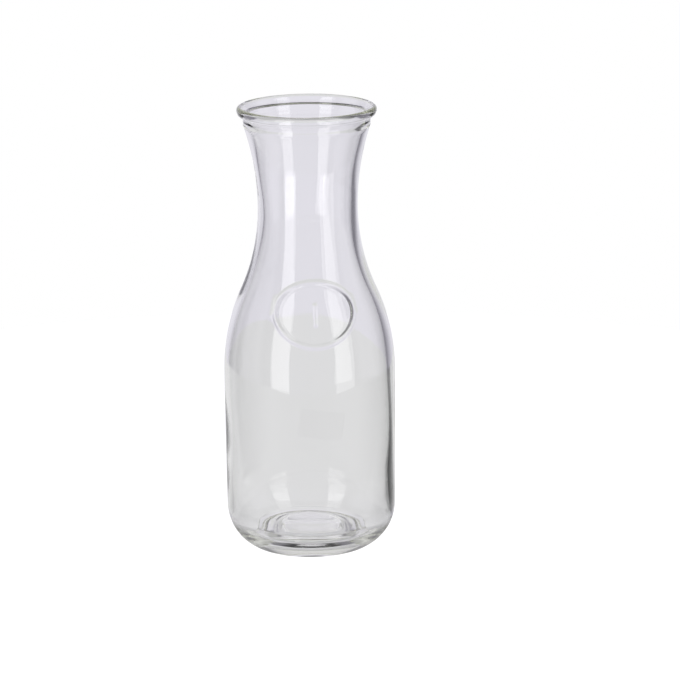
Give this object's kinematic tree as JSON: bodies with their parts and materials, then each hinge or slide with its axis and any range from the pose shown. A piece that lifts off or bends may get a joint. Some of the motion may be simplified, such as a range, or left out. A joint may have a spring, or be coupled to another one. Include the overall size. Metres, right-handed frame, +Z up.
{
  "type": "wine carafe",
  "caption": "Clear glass wine carafe with a rounded base, long shoulder, waisted neck, rolled lip, embossed oval ring and a small clear label.",
  "frame": {"origin": "middle of the base, on the surface that the carafe stands on", "axes": "+Z up along the carafe's own axis to the mouth, -Y towards the front, where the oval ring and the label are, +X to the right seen from the front"},
  "size_m": [0.098, 0.098, 0.256],
  "materials": {
    "clear_glass": "clear moulded soda-lime glass, fire polished, faintly olive where it is thick",
    "clear_film": "clear adhesive film, bare, with a soft sheen"
  },
  "bodies": {
    "root": {"glass_carafe": "clear_glass", "clear_label": "clear_film"}
  },
  "joints": []
}
